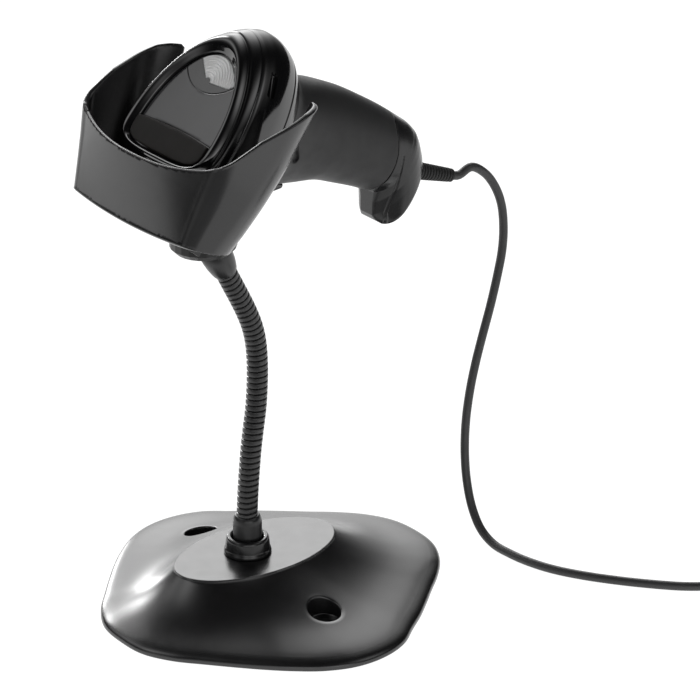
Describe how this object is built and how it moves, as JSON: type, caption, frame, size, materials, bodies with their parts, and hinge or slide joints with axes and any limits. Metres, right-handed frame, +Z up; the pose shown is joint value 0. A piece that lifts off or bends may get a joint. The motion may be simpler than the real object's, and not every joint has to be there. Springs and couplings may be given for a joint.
{
  "type": "handheld barcode scanner",
  "caption": "Pistol-grip barcode scanner with a coiled USB lead, resting nose-down in the open cup of a gooseneck desk stand with a weighted base.",
  "frame": {"origin": "centre of the underside of the stand's base, on the surface it stands on", "axes": "+Z up, -Y towards the front of the stand, where the scanner's nose points down and forward, X to the sides"},
  "size_m": [0.2891, 0.3153, 0.286],
  "materials": {
    "gloss_black": "gloss",
    "top_ring_gloss": "gloss",
    "smoked_inlay": "gloss",
    "label_matte": "matte",
    "lens_grey": "ribbed gloss",
    "window_red": "polished",
    "rubber_black": "matte",
    "grip_matte": "matte",
    "cap_black": "semi-gloss",
    "stand_satin": "satin",
    "fitting_satin": "satin",
    "neck_black": "semi-gloss",
    "cast_weight": "as cast",
    "steel": "zinc plated",
    "pcb_green": "satin",
    "component_black": "matte",
    "led_clear": "gloss",
    "optic": "polished",
    "connector_clear": "gloss",
    "cord_grey": "matte",
    "plug_black": "matte",
    "chrome": "polished"
  },
  "bodies": {
    "base": {"base_cover": "stand_satin", "base_weight": "cast_weight", "base_plate": "fitting_satin", "base_pad": "rubber_black", "base_screw_1": "steel", "base_screw_2": "steel", "base_screw_3": "steel", "base_screw_4": "steel", "neck_collar": "fitting_satin", "neck_lower_fitting": "fitting_satin", "neck_nut": "steel"},
    "neck_1": {"neck_link_1": "neck_black"},
    "neck_2": {"neck_link_2": "neck_black"},
    "neck_3": {"neck_link_3": "neck_black"},
    "neck_4": {"neck_link_4": "neck_black"},
    "neck_5": {"neck_link_5": "neck_black"},
    "neck_6": {"neck_link_6": "neck_black"},
    "cup": {"neck_upper_fitting": "fitting_satin", "cup_bracket": "fitting_satin", "cup_shell": "stand_satin", "cup_screw_1": "steel", "cup_screw_2": "steel", "presence_magnet": "steel"},
    "scanner": {"head_shell": "gloss_black", "head_top_cover": "top_ring_gloss", "top_inlay": "smoked_inlay", "label_plate": "label_matte", "indicator_lens": "lens_grey", "nose_bezel": "rubber_black", "scan_window": "window_red", "grip_shell": "grip_matte", "trigger_pin": "steel", "end_cap": "cap_black", "main_pcb": "pcb_green", "pcb_screw_1": "steel", "pcb_screw_2": "steel", "scan_engine": "component_black", "imaging_lens": "optic", "illumination_led": "led_clear", "beeper": "component_black", "indicator_pcb": "pcb_green", "indicator_led": "led_clear", "trigger_switch": "component_black", "switch_pcb": "pcb_green", "cable_socket": "component_black", "cable_plug": "connector_clear", "strain_relief": "cord_grey", "cable": "cord_grey", "cable_coil": "cord_grey", "cable_tie": "plug_black", "usb_plug_overmold": "plug_black", "usb_plug_shell": "chrome"},
    "trigger": {"trigger_button": "gloss_black"}
  },
  "joints": [
    {"name": "neck_bend_1", "type": "hinge", "parent": "base", "child": "neck_1", "pos_m": [0, -0.0152, 0.047], "axis": [1, 0, 0], "range_deg": [-8, 14], "deforming": ["cable"]},
    {"name": "neck_lean_1", "type": "hinge", "parent": "neck_1", "child": "neck_2", "pos_m": [0, -0.01362, 0.06831], "axis": [0, 0.9956, -0.0936], "range_deg": [-12, 12], "deforming": ["cable"]},
    {"name": "neck_bend_2", "type": "hinge", "parent": "neck_2", "child": "neck_3", "pos_m": [0, -0.01098, 0.08952], "axis": [1, 0, 0], "range_deg": [-8, 14], "deforming": ["cable"]},
    {"name": "neck_lean_2", "type": "hinge", "parent": "neck_3", "child": "neck_4", "pos_m": [0, -0.00854, 0.11074], "axis": [0, 0.9986, -0.0529], "range_deg": [-12, 12], "deforming": ["cable"]},
    {"name": "neck_bend_3", "type": "hinge", "parent": "neck_4", "child": "neck_5", "pos_m": [0, -0.00899, 0.13208], "axis": [1, 0, 0], "range_deg": [-8, 14], "deforming": ["cable"]},
    {"name": "neck_lean_3", "type": "hinge", "parent": "neck_5", "child": "neck_6", "pos_m": [0, -0.01533, 0.15239], "axis": [0, 0.9052, 0.4249], "range_deg": [-12, 12], "deforming": ["cable"]},
    {"name": "neck_bend_4", "type": "hinge", "parent": "neck_6", "child": "cup", "pos_m": [0, -0.0249, 0.1715], "axis": [1, 0, 0], "range_deg": [-8, 14], "deforming": ["cable"]},
    {"name": "scanner_lift_out", "type": "slide", "parent": "cup", "child": "scanner", "axis": [0, 0.6678, 0.7443], "range_m": [0, 0.11], "deforming": ["cable"]},
    {"name": "trigger_squeeze", "type": "hinge", "parent": "scanner", "child": "trigger", "pos_m": [0, -0.01697, 0.217], "axis": [1, 0, 0], "range_deg": [0, 6], "stiffness_Nm_per_rad": 0.45}
  ]
}
